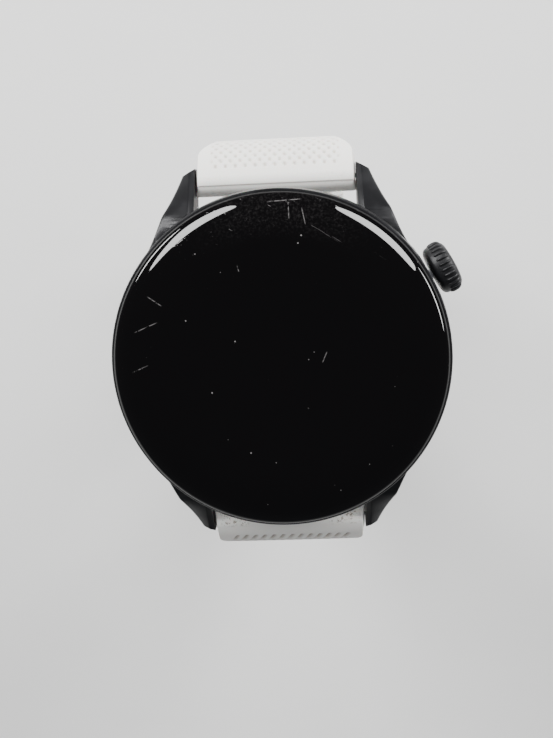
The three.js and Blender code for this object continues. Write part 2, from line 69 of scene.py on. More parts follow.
# Sizes are in millimetres until a piece is placed. The origin is the middle of the back, +Y is 12 o'clock
# and +Z is the glass side.
MM = 0.001
GLASS_TOP = 13.75
RIM_RADIUS = 23.12
SIDE_AXIS_Z = 6.6
CROWN_ANGLE = radians(27.3)
CROWN_FACE = 23.45
CROWN_END = 26.6
BUTTON_ANGLE = radians(28.3)
BUTTON_FACE = 23.65
SCREW_CIRCLE = 17.6
BAR_Y = 24.4
BAR_Z = 2.6
LUG_HALF_GAP = 11.1
LUG_ROOT = 12.0
LUG_LENGTH = 14.2
FIXED_KEEPER_BACK = 9
FREE_KEEPER_BACK = 14


# ---- Sizes and colours ----
class CaseSizes(bpy.types.PropertyGroup):
    round_steps: IntProperty(name="Round Steps", description="Steps round the case and the glass",
                             default=192)
    edge: FloatProperty(name="Edge Softening", description="Width of the softened edges in mm", default=0.12)
    color: FloatVectorProperty(name="Case Colour", description="Colour of the black coating",
                               subtype="COLOR", size=3, default=(0.009, 0.009, 0.010))


class CrownSizes(bpy.types.PropertyGroup):
    ridges: IntProperty(name="Ridges", description="Ridges round the crown", default=28)
    radius: FloatProperty(name="Radius", description="Radius over the ridges in mm", default=3.64)


class StrapSizes(bpy.types.PropertyGroup):
    width: FloatProperty(name="Lug Width", description="Width at the lugs in mm", default=22.06)
    narrow: FloatProperty(name="Narrow Width", description="Width past the taper in mm", default=19.0)
    relief: FloatProperty(name="Texture Depth", description="Depth of the dimples in mm", default=0.24)
    pitch: FloatProperty(name="Texture Pitch", description="Spacing of the dimples across the strap in mm",
                         default=1.36)
    color: FloatVectorProperty(name="Strap Colour", description="Colour of the silicone", subtype="COLOR",
                               size=3, default=(0.90, 0.885, 0.84))


class StageSizes(bpy.types.PropertyGroup):
    focal: FloatProperty(name="Focal Length", description="Lens on a 36 mm wide sensor", unit="CAMERA",
                         default=43.9)
    key_power: FloatProperty(name="Side Lights", description="Base power of the side lights in watts",
                             default=2.2)
    fill_power: FloatProperty(name="Overhead Light", description="Power of the overhead light in watts",
                              default=3.6)
    floor_color: FloatVectorProperty(name="Floor Colour", description="Colour of the floor", subtype="COLOR",
                                     size=3, default=(0.78, 0.78, 0.77))


# ---- Shader expressions ----
class Wire:
    """A number inside a material, so that shader maths reads as ordinary maths."""

    def __init__(self, paint, socket):
        self.paint = paint
        self.socket = socket

    def _math(self, operation, *values):
        return self.paint.node("ShaderNodeMath", {"operation": operation}, dict(enumerate(values)))

    def __add__(self, other): return self._math("ADD", self, other)
    def __radd__(self, other): return self._math("ADD", other, self)
    def __sub__(self, other): return self._math("SUBTRACT", self, other)
    def __rsub__(self, other): return self._math("SUBTRACT", other, self)
    def __mul__(self, other): return self._math("MULTIPLY", self, other)
    def __rmul__(self, other): return self._math("MULTIPLY", other, self)
    def abs(self): return self._math("ABSOLUTE", self)
    def sine(self): return self._math("SINE", self)
    def root(self): return self._math("SQRT", self)
    def fract(self): return self._math("FRACT", self)

    def band(self, low, high, start=0.0, end=1.0):
        """Rises smoothly from start to end as the value goes from low to high."""
        return self.paint.node(
            "ShaderNodeMapRange", {"interpolation_type": "SMOOTHSTEP"},
            {"Value": self, "From Min": low, "From Max": high, "To Min": start, "To Max": end})


class Paint:
    """Builds one material."""

    def __init__(self, name):
        self.material = bpy.data.materials.new(name)
        self.material.use_nodes = True
        self.tree = self.material.node_tree
        self.tree.nodes.clear()
        self.place = self.node("ShaderNodeTexCoord", output="Object")

    def node(self, kind, settings=None, values=None, output=0):
        """Adds one node. Settings come first, then the values or wires of its sockets."""
        node = self.tree.nodes.new(kind)
        for key, value in (settings or {}).items():
            setattr(node, key, value)
        for key, value in (values or {}).items():
            socket = node.inputs[key]
            if isinstance(value, Wire):
                self.tree.links.new(value.socket, socket)
            else:
                socket.default_value = value
        return Wire(self, node.outputs[output]) if len(node.outputs) else None

    def axes(self):
        """X, Y and Z in millimetres."""
        return [self.node("ShaderNodeSeparateXYZ", values={"Vector": self.place}, output=axis) * (1 / MM)
                for axis in "XYZ"]

    def noise(self, per_mm, detail=3.0, roughness=0.5, stretch=None, turn=0.0):
        """Noise, drawn out by the factors in stretch and turned by turn degrees about Z."""
        place = self.place
        if stretch:
            place = self.node("ShaderNodeMapping", {"vector_type": "TEXTURE"},
                              {"Vector": place, "Scale": stretch, "Rotation": (0.0, 0.0, radians(turn))})
        return self.node("ShaderNodeTexNoise", values={
            "Vector": place, "Scale": per_mm / MM, "Detail": detail, "Roughness": roughness})

    def cells(self, per_mm, randomness):
        """Distance from the nearest of many scattered points."""
        return self.node("ShaderNodeTexVoronoi", values={
            "Vector": self.place, "Scale": per_mm / MM, "Randomness": randomness})

    def mix(self, factor, a, b):
        """Blends two colours, each a wire or a plain colour."""
        a, b = (color if isinstance(color, Wire) else (*color[:3], 1.0) for color in (a, b))
        return self.node("ShaderNodeMix", {"data_type": "RGBA"}, {0: factor, 6: a, 7: b}, output=2)

    def bump(self, height, depth_mm, strength=1.0):
        return self.node("ShaderNodeBump", values={"Height": height, "Distance": depth_mm * MM,
                                                   "Strength": strength})

    def finish(self, color, roughness, metallic=0.0, normal=None, **constants):
        """Ends the material. The constants are the shader's own sockets, with _ for a space."""
        values = {"Base Color": color if isinstance(color, Wire) else (*color[:3], 1.0),
                  "Roughness": roughness, "Metallic": metallic}
        values.update({key.replace("_", " "): value for key, value in constants.items()})
        if normal:
            values["Normal"] = normal
        shader = self.node("ShaderNodeBsdfPrincipled", values=values)
        self.node("ShaderNodeOutputMaterial", values={"Surface": shader})
        return self.material


def coated_steel():
    """Satin black coating, with fine brushed grain and a little shine where it is handled."""
    paint = Paint("black_coated_steel")
    color = tuple(bpy.context.scene.watch_case.color)
    grain = paint.noise(9.0, 2.0, 0.6)
    cloud = paint.noise(0.25, 3.0)
    smudge = cloud.band(0.45, 0.7)
    tone = paint.mix(smudge, color, tuple(c * 1.7 for c in color))
    return paint.finish(tone, 0.27 + grain * 0.1 + smudge * 0.06, 0.35, paint.bump(grain, 0.006),
                        Coat_Weight=0.06, Coat_Roughness=0.12, Specular_IOR_Level=0.24)


# Long scratches on the glass: middle x and y in mm, slope in degrees, length in mm.
SCRATCHES = [(-16.1, 9.0, -34, 2.5), (-17.5, 5.6, 22, 3.7), (-18.6, 0.1, 23, 2.6), (-12.5, 16.5, 34, 2.5),
             (-4.9, 12.9, -79, 1.0), (5.9, 0.9, 66, 1.7), (3.8, 19.2, -79, 2.4), (1.9, 20.0, -88, 2.4),
             (1.4, 21.3, 2, 4.8)]


def black_glass():
    """Glossy black glass: hazed toward its top edge, with a few long scratches and dust specks."""
    paint = Paint("black_domed_glass")
    x, y, _ = paint.axes()
    radius = (x * x + y * y).root()
    top_edge = radius.band(16.0, 20.0) * y.band(12.0, 18.0)
    broken = paint.noise(2.5, 3.0, 0.6).band(0.36, 0.52)
    lines = []
    for middle_x, middle_y, slope, length in SCRATCHES:
        turn = radians(slope)
        across = (y - middle_y) * cos(turn) - (x - middle_x) * sin(turn)
        along = (x - middle_x) * cos(turn) + (y - middle_y) * sin(turn)
        lines.append(across.abs().band(0.085, 0.03) * along.abs().band(length * 0.5, length * 0.3))
    hairs = paint.noise(4.5, 3.0, 0.6, stretch=(20.0, 1.0, 1.0), turn=-33.0).band(0.69, 0.73) * top_edge
    scratch = sum(lines) * broken + hairs
    film = paint.noise(3.0, 4.0, 0.75).band(0.45, 0.75) * top_edge * (x - 1.0).abs().band(13.0, 4.0)
    dust = paint.cells(0.48, 1.0).band(0.065, 0.035) * paint.noise(0.35, 1.0).band(0.44, 0.49)
    marks = scratch * 0.45 + dust * 0.75 + film * 0.055
    color = paint.mix(marks, (0.0012, 0.0010, 0.0011), (0.20, 0.19, 0.19))
    haze = paint.noise(0.12, 3.0).band(0.4, 0.7)
    return paint.finish(color, 0.02 + haze * 0.02 + marks * 0.35, 0.0,
                        paint.bump(scratch + dust, 0.003, 0.4), IOR=1.5, Specular_IOR_Level=0.34)


def knurled_steel():
    """The coating on the crown, dulled by fingers."""
    paint = Paint("matt_crown_coating")
    color = tuple(bpy.context.scene.watch_case.color)
    grain = paint.noise(8.0, 3.0, 0.6)
    tone = paint.mix(grain.band(0.45, 0.75), color, tuple(c * 2.2 for c in color))
    return paint.finish(tone, 0.36 + grain * 0.16, 0.4, paint.bump(grain, 0.01))


def silicone():
    """Warm white silicone: satin skin, faint cloudiness, grime beside the lugs, and painted shade in the
    dimples.
    """
    paint = Paint("warm_white_silicone")
    color = tuple(bpy.context.scene.watch_strap.color)
    x, y, z = paint.axes()
    cloud = paint.noise(0.2, 3.0).band(0.35, 0.75)
    skin = paint.noise(7.0, 2.0)
    near_lugs = z.band(1.5, 4.0) * y.abs().band(25.6, 24.7) * (x.abs() - 8.0).abs().band(2.6, 1.2)
    specks = paint.noise(2.2, 4.0, 0.75).band(0.53, 0.60)
    lower = y.band(0.0, -5.0)
    grime = specks * near_lugs * (0.12 + lower * 0.8)
    tone = paint.mix(cloud * 0.35, color, tuple(c * 0.93 for c in color))
    tone = paint.mix(grime, tone, (0.20, 0.15, 0.10))
    # Painted shade: the colour is pulled toward a dark brown inside the dimples, by the dimple share stored
    # on the strap's vertices.
    dimple_shade = paint.node("ShaderNodeAttribute", {"attribute_name": "dimple_shade"}, output=2)
    tone = paint.mix(dimple_shade * 0.62, tone, (0.36, 0.30, 0.24))
    return paint.finish(tone, 0.46 + skin * 0.1, 0.0, paint.bump(skin, 0.008),
                        Subsurface_Weight=0.08, Subsurface_Scale=0.0015, Specular_IOR_Level=0.4)


def polished_steel():
    """Bright steel with a drawn grain."""
    paint = Paint("polished_steel")
    grain = paint.noise(5.0, 3.0, 0.6, stretch=(12.0, 1.0, 1.0))
    tone = paint.mix(grain, (0.62, 0.62, 0.63), (0.78, 0.78, 0.79))
    return paint.finish(tone, 0.16 + grain * 0.16, 1.0, paint.bump(grain, 0.003, 0.5))


def moulded_plastic(name, color, roughness):
    """Moulded plastic or rubber with a spark-eroded grain."""
    paint = Paint(name)
    grain = paint.noise(11.0, 3.0, 0.65)
    cloud = paint.noise(0.4, 2.0)
    tone = paint.mix(cloud, tuple(c * 0.85 for c in color), tuple(c * 1.2 for c in color))
    return paint.finish(tone, roughness + grain * 0.15, 0.0, paint.bump(grain, 0.012))


def satin_metal(name, color, roughness, metallic=1.0):
    """Rolled or drawn metal sheet."""
    paint = Paint(name)
    grain = paint.noise(4.0, 4.0, 0.6, stretch=(10.0, 1.0, 1.0))
    tone = paint.mix(grain, tuple(c * 0.85 for c in color), tuple(min(1.0, c * 1.1) for c in color))
    return paint.finish(tone, roughness + grain * 0.15, metallic, paint.bump(grain, 0.004))


def circuit_board():
    """Green solder mask with tracks and plated pads."""
    paint = Paint("solder_mask")
    x, y, _ = paint.axes()
    tracks = (x * 1.6).fract().band(0.72, 0.78) * (paint.noise(0.5, 0.0).band(0.48, 0.52))
    crossing = (y * 1.9).fract().band(0.75, 0.80) * paint.noise(0.7, 0.0).band(0.52, 0.56)
    copper = tracks + crossing * (1.0 - tracks)
    pads = paint.cells(0.7, 0.3).band(0.22, 0.18) * paint.noise(0.3, 1.0).band(0.5, 0.55)
    tone = paint.mix(copper, (0.010, 0.075, 0.035), (0.02, 0.14, 0.06))
    tone = paint.mix(pads, tone, (0.75, 0.55, 0.22))
    return paint.finish(tone, 0.35 + pads * -0.1, pads, paint.bump(copper + pads, 0.03))


def wound_copper():
    """Flat coil of enamelled wire: fine turns round the Z axis."""
    paint = Paint("enamelled_copper")
    x, y, _ = paint.axes()
    radius = (x * x + y * y).root()
    turn = (radius * (2 * pi / 0.24)).sine() * 0.5 + 0.5
    tone = paint.mix(turn, (0.20, 0.07, 0.02), (0.72, 0.33, 0.15))
    return paint.finish(tone, 0.28 + turn * 0.1, 0.9, paint.bump(turn, 0.05))


def flex_film():
    """Amber film with fine conductors along it."""
    paint = Paint("polyimide_film")
    x, _, _ = paint.axes()
    lines = (x * 2.4).fract().band(0.55, 0.62)
    tone = paint.mix(lines, (0.50, 0.22, 0.05), (0.30, 0.12, 0.03))
    return paint.finish(tone, 0.38 + lines * 0.1, 0.1, paint.bump(lines, 0.02))


def sensor_crystal():
    """Dark back crystal: clear ring of sensor windows seen through a smoked face."""
    paint = Paint("smoked_crystal")
    x, y, _ = paint.axes()
    radius = (x * x + y * y).root()
    ring = radius.band(3.9, 4.1) * radius.band(7.1, 6.9)
    centre = radius.band(2.9, 2.7)
    angle = paint.node("ShaderNodeMath", {"operation": "ARCTAN2"}, {0: y, 1: x})
    spokes = (angle * 3.0).sine().abs().band(0.12, 0.18)
    window = ring * spokes + centre
    die = paint.noise(0.9, 1.0).band(0.5, 0.56)
    border = radius.band(8.1, 8.2) * radius.band(8.5, 8.4)
    tone = paint.mix(window, (0.004, 0.004, 0.005), (0.020, 0.028, 0.030))
    tone = paint.mix(window * die * 0.6, tone, (0.10, 0.13, 0.09))
    tone = paint.mix(border, tone, (0.06, 0.06, 0.065))
    smear = paint.noise(0.3, 3.0).band(0.5, 0.8)
    return paint.finish(tone, 0.04 + smear * 0.08, 0.0, None, IOR=1.5, Coat_Weight=0.5, Coat_Roughness=0.03)


def battery_pouch():
    """Crinkled foil pouch."""
    paint = Paint("foil_pouch")
    crease = paint.noise(0.6, 4.0, 0.65)
    tone = paint.mix(crease, (0.30, 0.31, 0.33), (0.52, 0.53, 0.55))
    return paint.finish(tone, 0.3 + crease * 0.2, 0.85, paint.bump(crease, 0.12))


FINISHES = {}


def make_finishes():
    FINISHES.update({
        "black_steel": coated_steel(),
        "crown_coating": knurled_steel(),
        "cover_glass": black_glass(),
        "silicone": silicone(),
        "seal_rubber": moulded_plastic("seal_rubber", (0.012, 0.012, 0.012), 0.65),
        "dark_plastic": moulded_plastic("black_moulding", (0.016, 0.016, 0.018), 0.42),
        "chassis": moulded_plastic("filled_nylon", (0.05, 0.052, 0.056), 0.5),
        "board": circuit_board(),
        "shield_metal": satin_metal("tinned_shield", (0.60, 0.61, 0.62), 0.25),
        "polished_steel": polished_steel(),
        "battery_foil": battery_pouch(),
        "copper": wound_copper(),
        "flex_film": flex_film(),
        "ferrite": moulded_plastic("ferrite_sheet", (0.06, 0.06, 0.065), 0.6),
        "display": moulded_plastic("display_stack", (0.004, 0.004, 0.005), 0.08),
        "crystal": sensor_crystal(),
    })


# ---- Mesh helpers ----
def plain(mesh_data, name):
    """A working object in millimetres, for booleans and modifiers."""
    bmesh.ops.remove_doubles(mesh_data, verts=mesh_data.verts, dist=1e-5)
    bmesh.ops.recalc_face_normals(mesh_data, faces=mesh_data.faces)
    mesh = bpy.data.meshes.new(name)
    mesh_data.to_mesh(mesh)
    mesh_data.free()
    thing = bpy.data.objects.new(name, mesh)
    bpy.context.scene.collection.objects.link(thing)
    return thing


def settle(thing, finish, body, slot, *nodes, crease=35, turn=Matrix.Identity(4)):
    """Finishes a working object: brings it to metres, parents it to the body it rides on and hides the CAD
    nodes it stands for.
    """
    thing.data.transform(Matrix.Scale(MM, 4) @ turn)
    thing.data.materials.clear()
    thing.data.materials.append(FINISHES[finish])
    for face in thing.data.polygons:
        face.use_smooth = True
        face.material_index = 0
    thing.data.set_sharp_from_angle(angle=radians(crease))
    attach(thing, body)
    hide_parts(*nodes)


def baked(thing):
    """The object's mesh with its modifiers applied, and the modifiers removed."""
    bpy.context.view_layer.update()
    depsgraph = bpy.context.evaluated_depsgraph_get()
    mesh = bpy.data.meshes.new_from_object(thing.evaluated_get(depsgraph))
    thing.modifiers.clear()
    thing.data = mesh
    return thing


def combine(thing, tools, operation):
    """Adds or cuts working objects one by one, and removes them."""
    for tool in tools:
        change = thing.modifiers.new("change", "BOOLEAN")
        change.operation = operation
        change.solver = "EXACT"
        change.object = tool
        baked(thing)
        bpy.data.objects.remove(tool)
    return thing


def soften(thing, width, segments=2, angle=32):
    """Bevels the edges that are sharper than angle."""
    bevel = thing.modifiers.new("soft", "BEVEL")
    bevel.width = width
    bevel.segments = segments
    bevel.limit_method = "ANGLE"
    bevel.angle_limit = radians(angle)
    return baked(thing)


def filleted(outline, radius, steps=4):
    """Rounds every corner of a closed outline. A point may carry its own radius as a third value."""
    result = []
    count = len(outline)
    for i, point in enumerate(outline):
        here = Vector(point[:2])
        r = point[2] if len(point) > 2 else radius
        before = Vector(outline[i - 1][:2]) - here
        after = Vector(outline[(i + 1) % count][:2]) - here
        reach = min(r, before.length * 0.45, after.length * 0.45)
        if reach < 1e-4 or here.x == 0:
            result.append(tuple(here))
            continue
        a = here + before.normalized() * reach
        b = here + after.normalized() * reach
        for k in range(steps + 1):
            t = k / steps
            result.append(tuple(a * (1 - t) ** 2 + here * 2 * t * (1 - t) + b * t * t))
    return result


def spun(outline, steps, turn=None):
    """Spins an (r, z) outline about Z. Points on the axis become poles."""
    mesh_data = bmesh.new()
    rings = []
    for r, z in outline:
        if r < 1e-6:
            rings.append([mesh_data.verts.new((0, 0, z))])
        else:
            rings.append([mesh_data.verts.new((r * cos(2 * pi * k / steps), r * sin(2 * pi * k / steps), z))
                          for k in range(steps)])
    for i, ring in enumerate(rings):
        other = rings[(i + 1) % len(rings)]
        if len(ring) == 1 and len(other) == 1:
            continue
        for k in range(steps):
            n = (k + 1) % steps
            corners = [ring[k % len(ring)], ring[n % len(ring)],
                       other[n % len(other)], other[k % len(other)]]
            unique = list(dict.fromkeys(corners))
            if len(unique) > 2:
                mesh_data.faces.new(unique)
    if turn:
        mesh_data.transform(turn)
    return mesh_data


def lofted(sections):
    """Joins sections of equal length into one closed skin."""
    mesh_data = bmesh.new()
    rows = [[mesh_data.verts.new(p) for p in section] for section in sections]
    count = len(rows[0])
    for a, b in zip(rows, rows[1:]):
        for k in range(count):
            n = (k + 1) % count
            mesh_data.faces.new((a[k], a[n], b[n], b[k]))
    mesh_data.faces.new(rows[0])
    mesh_data.faces.new(rows[-1])
    return mesh_data


def slab(outline, low, high, turn=None):
    """A flat outline given depth along Z, then turned into place."""
    mesh_data = lofted([[(x, y, low) for x, y in outline], [(x, y, high) for x, y in outline]])
    if turn:
        mesh_data.transform(turn)
    return mesh_data


def rounded_box(half_x, half_y, r, steps=5):
    """A rectangle's outline with round corners."""
    corners = [(half_x - r, half_y - r, 0), (r - half_x, half_y - r, 90),
               (r - half_x, r - half_y, 180), (half_x - r, r - half_y, 270)]
    return [(x + r * cos(radians(start + 90 * k / steps)), y + r * sin(radians(start + 90 * k / steps)))
            for x, y, start in corners for k in range(steps + 1)]


ALONG_X = Matrix(((0, 0, 1), (1, 0, 0), (0, 1, 0))).to_4x4()
LATHE_TO_X = Matrix.Rotation(pi / 2, 4, "Y")
CROWN_TURN = Matrix.Translation((0, 0, SIDE_AXIS_Z)) @ Matrix.Rotation(CROWN_ANGLE, 4, "Z")
BUTTON_TURN = Matrix.Translation((0, 0, SIDE_AXIS_Z)) @ Matrix.Rotation(-BUTTON_ANGLE, 4, "Z")


def pin_tool(radius, start, end, turn, name, steps=32):
    outline = [(0, start), (radius, start), (radius, end), (0, end)]
    return plain(spun(outline, steps, turn @ LATHE_TO_X), name)


def curve_through(points, steps=6):
    """A smooth line through points of any dimension."""
    result = []
    vectors = [Vector(p) for p in points]
    for i in range(len(vectors) - 1):
        p0 = vectors[max(i - 1, 0)]
        p1, p2 = vectors[i], vectors[i + 1]
        p3 = vectors[min(i + 2, len(vectors) - 1)]
        for k in range(steps):
            t = k / steps
            result.append(0.5 * ((2 * p1) + (p2 - p0) * t + (2 * p0 - 5 * p1 + 4 * p2 - p3) * t * t
                                 + (3 * p1 - p0 - 3 * p2 + p3) * t ** 3))
    result.append(vectors[-1])
    return result


# ---- Case ----
def value_on(line, at):
    """Reads y at x from a list of (x, y) points in rising x."""
    for (x0, y0), (x1, y1) in zip(line, line[1:]):
        if at <= x1:
            share = (at - x0) / (x1 - x0) if x1 > x0 else 0
            return y0 + (y1 - y0) * max(0.0, min(1.0, share))
    return line[-1][1]


def smooth(points, steps=6):
    return [tuple(point) for point in curve_through(points, steps)]


# The lug from its root to its tip, as (y, value): its outer side, its top and its underside.
LUG_EDGE = smooth([(12, 19.0), (13.9, 18.5), (15.3, 17.4), (17.2, 16.45), (19.34, 15.62), (22.2, 14.5),
                   (24.9, 13.4), (26.6, 12.7)])
LUG_TOP = smooth([(12, 9.6), (17, 9.0), (20.5, 7.5), (23.5, 5.6), (25.4, 4.35), (26.6, 3.6)])
LUG_BOTTOM = smooth([(12, 8.3), (14.5, 6.3), (17.5, 3.3), (21.4, 1.25), (23.8, 0.65), (25.4, 0.75),
                     (26.6, 1.45)])


def lug(side_x, side_y):
    """One lug, lofted from its root under the glass to its slanted tip."""
    steps = 56
    sections = []
    for i in range(steps + 1):
        y = LUG_ROOT + i * LUG_LENGTH / steps
        outer, top, low = (value_on(line, y) for line in (LUG_EDGE, LUG_TOP, LUG_BOTTOM))
        outline = filleted([
            (LUG_HALF_GAP, low, 0.2), (outer, low, 0.45), (outer, top, 0.35),
            (LUG_HALF_GAP + 0.75, top + 0.12, 0.12), (LUG_HALF_GAP, top - 0.45, 0.12)], 0.3, 3)
        slant = max(0.0, (y - 20.0) / 6.2) * 1.3 / 2.3
        sections.append([(side_x * x, side_y * (y - slant * (x - LUG_HALF_GAP)), z) for x, z in outline])
    return plain(lofted(sections), "lug")


def make_case():
    case = bpy.context.scene.watch_case
    wall = smooth([(20.95, 1.6), (21.25, 2.6), (21.7, 4.0), (22.3, 5.6), (22.88, 7.4), (RIM_RADIUS, 8.6),
                   (RIM_RADIUS, 9.4), (22.97, 10.3)], 5)
    rim = [(22.9, 10.62), (22.86, 10.72), (22.93, 10.8), (22.92, 10.95), (22.78, 11.1), (22.62, 11.14)]
    inside = [(21.2, 11.1), (21.2, 10.5), (20.4, 10.5), (20.4, 4.1), (16.2, 4.1), (16.2, 2.9), (20.45, 2.9),
              (20.45, 1.75), (20.6, 1.6)]
    outline = wall + rim + inside
    shell = plain(spun(outline, case.round_steps), "case_shell")
    lugs = [lug(sx, sy) for sx in (1, -1) for sy in (1, -1)]
    for one in lugs:
        core = plain(spun([(0, -2), (20.8, -2), (20.8, 13), (0, 13)], case.round_steps), "core")
        combine(one, [core], "DIFFERENCE")
    combine(shell, lugs, "UNION")
    pocket = rounded_box(3.575, 1.625, 1.6, 8)
    slot = rounded_box(3.2, 0.55, 0.54, 6)
    side = Matrix.Translation((0, 0, SIDE_AXIS_Z))
    tools = [
        pin_tool(4.05, 22.75, 26, CROWN_TURN, "recess", 64),
        pin_tool(1.75, 19, 24, CROWN_TURN, "crown_bore"),
        plain(slab(pocket, 21.7, 25, BUTTON_TURN @ ALONG_X), "button_pocket"),
        pin_tool(0.95, 19, 23, BUTTON_TURN, "button_bore"),
        plain(slab(slot, 19, 24, side @ Matrix.Rotation(pi, 4, "Z") @ ALONG_X), "speaker_slot"),
        pin_tool(0.45, 19, 24, side, "microphone_hole"),
    ]
    for bar_y in (BAR_Y, -BAR_Y):
        tools.append(pin_tool(0.5, -12.4, 12.4, Matrix.Translation((0, bar_y, BAR_Z)), "bar_hole", 24))
    combine(shell, tools, "DIFFERENCE")
    soften(shell, case.edge)
    settle(shell, "black_steel", "case", "black_steel", "case_body", crease=28)


# ---- Glass and back ----
def make_glass():
    case = bpy.context.scene.watch_case
    dome = smooth([(0, GLASS_TOP), (8, GLASS_TOP), (14, 13.72), (17, 13.58), (19.2, 13.22), (20.7, 12.75),
                   (21.7, 12.25), (22.2, 11.9), (22.48, 11.6)], 8)
    underside = [(22.5, 11.48), (22.42, 11.4), (21.2, 11.4), (20.9, 11.9), (20.0, 12.6), (18.6, 12.95),
                 (0, 12.95)]
    outline = dome + underside
    dome_glass = plain(spun(outline, case.round_steps), "domed_glass")
    settle(dome_glass, "cover_glass", "case", "cover_glass", "cover_glass")
    dome_back = [(0, 0)] + smooth([(8.4, 0), (10, 0.1), (11.4, 0.38), (12.6, 0.95), (13.05, 1.6)])
    crystal = dome_back + [(13.1, 1.75), (13.1, 2.7), (14.5, 2.7), (14.5, 3.1), (12.4, 3.1), (12.1, 1.75),
                           (11.0, 1.25), (8.5, 0.9), (0, 0.9)]
    settle(plain(spun(crystal, 144), "rear_crystal"), "crystal", "case", "cover_glass", "back_crystal")


def make_rear_cover():
    outline = filleted([(13.25, 1.6), (19.6, 1.6), (20.3, 1.85), (20.3, 2.65), (13.25, 2.65)], 0.12, 3)
    cover = plain(spun(outline, 160), "rear_plate")
    tools = []
    for quarter in range(4):
        turn = radians(45 + 90 * quarter)
        spot = Matrix.Translation((SCREW_CIRCLE * cos(turn), SCREW_CIRCLE * sin(turn), 0))
        way = spun([(0, 1), (1.25, 1), (1.25, 2.05), (0.8, 2.05), (0.8, 4), (0, 4)], 40, spot)
        tools.append(plain(way, "screw_way"))
    combine(cover, tools, "DIFFERENCE")
    soften(cover, 0.06, 2, 40)
    settle(cover, "dark_plastic", "case", "dark_plastic", "rear_cover")


# ---- Geometry Nodes: one thing repeated round a circle ----
def repeated(name, unit, inputs):
    """Stands copies of unit round the Z axis, facing outwards. Inputs: count, radius, start, finish."""
    tree = bpy.data.node_groups.new(name, "GeometryNodeTree")
    face = tree.interface
    face.new_socket("Geometry", in_out="INPUT", socket_type="NodeSocketGeometry")
    count = face.new_socket("Count", in_out="INPUT", socket_type="NodeSocketInt")
    radius = face.new_socket("Radius", in_out="INPUT", socket_type="NodeSocketFloat")
    start = face.new_socket("Start Angle", in_out="INPUT", socket_type="NodeSocketFloat")
    face.new_socket("Geometry", in_out="OUTPUT", socket_type="NodeSocketGeometry")
    nodes, link = tree.nodes, tree.links.new

    def make(kind, **settings):
        node = nodes.new(kind)
        for key, value in settings.items():
            setattr(node, key, value)
        return node

    given = make("NodeGroupInput")
    line = make("GeometryNodeMeshLine", mode="OFFSET")
    line.inputs["Offset"].default_value = (0, 0, 0)
    index = make("GeometryNodeInputIndex")
    step = make("ShaderNodeMath", operation="DIVIDE")
    step.inputs[0].default_value = 2 * pi
    turned = make("ShaderNodeMath", operation="MULTIPLY_ADD")
    sine = make("ShaderNodeMath", operation="SINE")
    cosine = make("ShaderNodeMath", operation="COSINE")
    across = make("ShaderNodeMath", operation="MULTIPLY")
    up = make("ShaderNodeMath", operation="MULTIPLY")
    spot = make("ShaderNodeCombineXYZ")
    aim = make("ShaderNodeCombineXYZ")
    move = make("GeometryNodeSetPosition")
    source = make("GeometryNodeObjectInfo")
    source.inputs["Object"].default_value = unit
    place = make("GeometryNodeInstanceOnPoints")
    real = make("GeometryNodeRealizeInstances")
    color = make("GeometryNodeSetMaterial")
    color.inputs["Material"].default_value = FINISHES[inputs["finish"]]
    result = make("NodeGroupOutput")
    link(given.outputs["Count"], line.inputs["Count"])
    link(given.outputs["Count"], step.inputs[1])
    link(index.outputs[0], turned.inputs[0])
    link(step.outputs[0], turned.inputs[1])
    link(given.outputs["Start Angle"], turned.inputs[2])
    for wave, scaled, socket in ((cosine, across, "X"), (sine, up, "Y")):
        link(turned.outputs[0], wave.inputs[0])
        link(wave.outputs[0], scaled.inputs[0])
        link(given.outputs["Radius"], scaled.inputs[1])
        link(scaled.outputs[0], spot.inputs[socket])
    link(turned.outputs[0], aim.inputs["Z"])
    link(line.outputs["Mesh"], move.inputs["Geometry"])
    link(spot.outputs[0], move.inputs["Position"])
    link(move.outputs[0], place.inputs["Points"])
    link(source.outputs["Geometry"], place.inputs["Instance"])
    link(aim.outputs[0], place.inputs["Rotation"])
    link(place.outputs[0], real.inputs[0])
    link(real.outputs[0], color.inputs["Geometry"])
    link(color.outputs[0], result.inputs[0])
    holder = bpy.data.objects.new(name, bpy.data.meshes.new(name))
    bpy.context.scene.collection.objects.link(holder)
    work = holder.modifiers.new(name, "NODES")
    work.node_group = tree
    for socket, value in ((count, inputs["count"]), (radius, inputs["radius"]), (start, inputs["start"])):
        work[socket.identifier] = value
    baked(holder)
    bpy.data.objects.remove(unit)
    return holder


def make_screws():
    outline = [(0, 1.9), (0.42, 1.9), (0.45, 1.68), (0.5, 1.65), (1.02, 1.65), (1.1, 1.73), (1.1, 2.0),
               (0.6, 2.05), (0.6, 4.0), (0, 4.0)]
    unit = plain(spun(outline, 36), "screw")
    socket = plain(spun([(0, 1.2), (0.45, 1.2), (0.45, 1.88), (0, 1.88)], 6), "socket")
    combine(unit, [socket], "DIFFERENCE")
    ring = repeated("back_screw_ring", unit, {"count": 4, "radius": SCREW_CIRCLE, "start": radians(45),
                                              "finish": "polished_steel"})
    settle(ring, "polished_steel", "case", "polished_steel", *(f"back_screw_{i}" for i in range(1, 5)))


